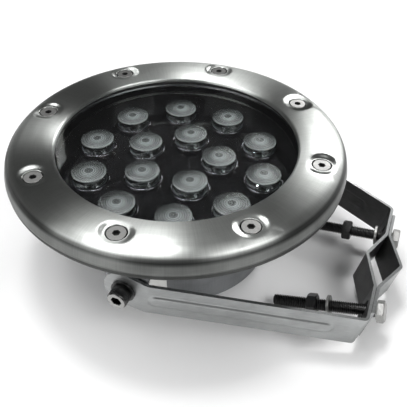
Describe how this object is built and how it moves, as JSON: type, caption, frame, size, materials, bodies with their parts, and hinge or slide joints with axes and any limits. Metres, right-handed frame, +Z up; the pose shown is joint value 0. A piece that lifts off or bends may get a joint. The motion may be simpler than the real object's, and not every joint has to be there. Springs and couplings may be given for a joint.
{
  "type": "underwater pond light",
  "caption": "Round underwater LED lamp with a pressed steel face ring over a glass front, on a tilting U yoke that ends in a bolted V clamp for a pipe.",
  "frame": {"origin": "centre of the housing's flat base, on the surface that the lamp stands on", "axes": "+Z up along the lamp's axis towards the glass, +X towards the yoke's pipe clamp, the yoke's pivot axis along Y"},
  "size_m": [0.2842, 0.2348, 0.0972],
  "materials": {
    "ring_steel": "brushed satin",
    "yoke_steel": "satin mill finish",
    "screw_steel": "bright",
    "pivot_steel": "bright face, dark knurled side",
    "bolt_steel": "dark thread, bright head",
    "housing_metal": "satin, dark",
    "gland_metal": "nickel plated",
    "front_glass": "clear",
    "lens_clear": "clear with a beaded top",
    "black_plate": "gloss",
    "seal_rubber": "matt",
    "led_emitter": "gloss",
    "led_board": "white solder mask",
    "heat_spreader": "milled",
    "driver_board": "green solder mask",
    "standoff_brass": "bright",
    "capacitor_sleeve": "sleeve",
    "transformer_bobbin": "taped winding",
    "copper_winding": "enamelled",
    "chip_black": "matt",
    "terminal_green": "moulded",
    "wire_sheath": "smooth",
    "plate_white": "blank label"
  },
  "bodies": {
    "lamp": {"housing": "housing_metal", "flange_ring": "housing_metal", "near_ear": "housing_metal", "far_ear": "housing_metal", "ear_nuts": "screw_steel", "face_ring": "ring_steel", "ring_screws": "screw_steel", "upper_gasket": "seal_rubber", "front_glass": "front_glass", "lower_gasket": "seal_rubber", "cover_plate": "black_plate", "led_lenses": "lens_clear", "led_emitters": "led_emitter", "led_board": "led_board", "board_screws": "screw_steel", "heat_spreader": "heat_spreader", "driver_board": "driver_board", "driver_standoffs": "standoff_brass", "driver_screws": "screw_steel", "filter_capacitors": "capacitor_sleeve", "transformer": "transformer_bobbin", "choke_coil": "copper_winding", "driver_chips": "chip_black", "terminal_block": "terminal_green", "led_wires": "wire_sheath", "gland_body": "gland_metal", "gland_oring": "seal_rubber", "gland_seal": "seal_rubber", "gland_nut": "gland_metal", "rating_plate": "plate_white", "near_pivot_screw": "pivot_steel", "far_pivot_screw": "pivot_steel", "pivot_washers": "bolt_steel", "arm_spacers": "bolt_steel"},
    "yoke": {"yoke_bracket": "yoke_steel"},
    "jaw": {"clamp_plate": "yoke_steel", "near_clamp_bolt": "bolt_steel", "far_clamp_bolt": "bolt_steel"},
    "near_nut": {"near_lock_nut": "bolt_steel"},
    "far_nut": {"far_lock_nut": "bolt_steel"},
    "near_washer": {"near_spring_washer": "screw_steel"},
    "far_washer": {"far_spring_washer": "screw_steel"}
  },
  "joints": [
    {"name": "yoke_tilt", "type": "hinge", "parent": "lamp", "child": "yoke", "pos_m": [0.0074, 0, 0.0474], "axis": [0, 1, 0], "range_deg": [-20, 155]},
    {"name": "jaw_slide", "type": "slide", "parent": "yoke", "child": "jaw", "axis": [0.9942, 0, 0.108], "range_m": [0, 0.006]},
    {"name": "near_nut_run", "type": "slide", "parent": "jaw", "child": "near_nut", "axis": [0.9603, 0, 0.279], "range_m": [-0.02, 0.002]},
    {"name": "far_nut_run", "type": "slide", "parent": "jaw", "child": "far_nut", "axis": [0.9942, 0, 0.108], "range_m": [-0.02, 0.002]},
    {"name": "near_washer_run", "type": "slide", "parent": "jaw", "child": "near_washer", "axis": [0.9603, 0, 0.279], "range_m": [-0.004, 0.005]},
    {"name": "far_washer_run", "type": "slide", "parent": "yoke", "child": "far_washer", "axis": [0.9942, 0, 0.108], "range_m": [-0.0075, 0]}
  ]
}
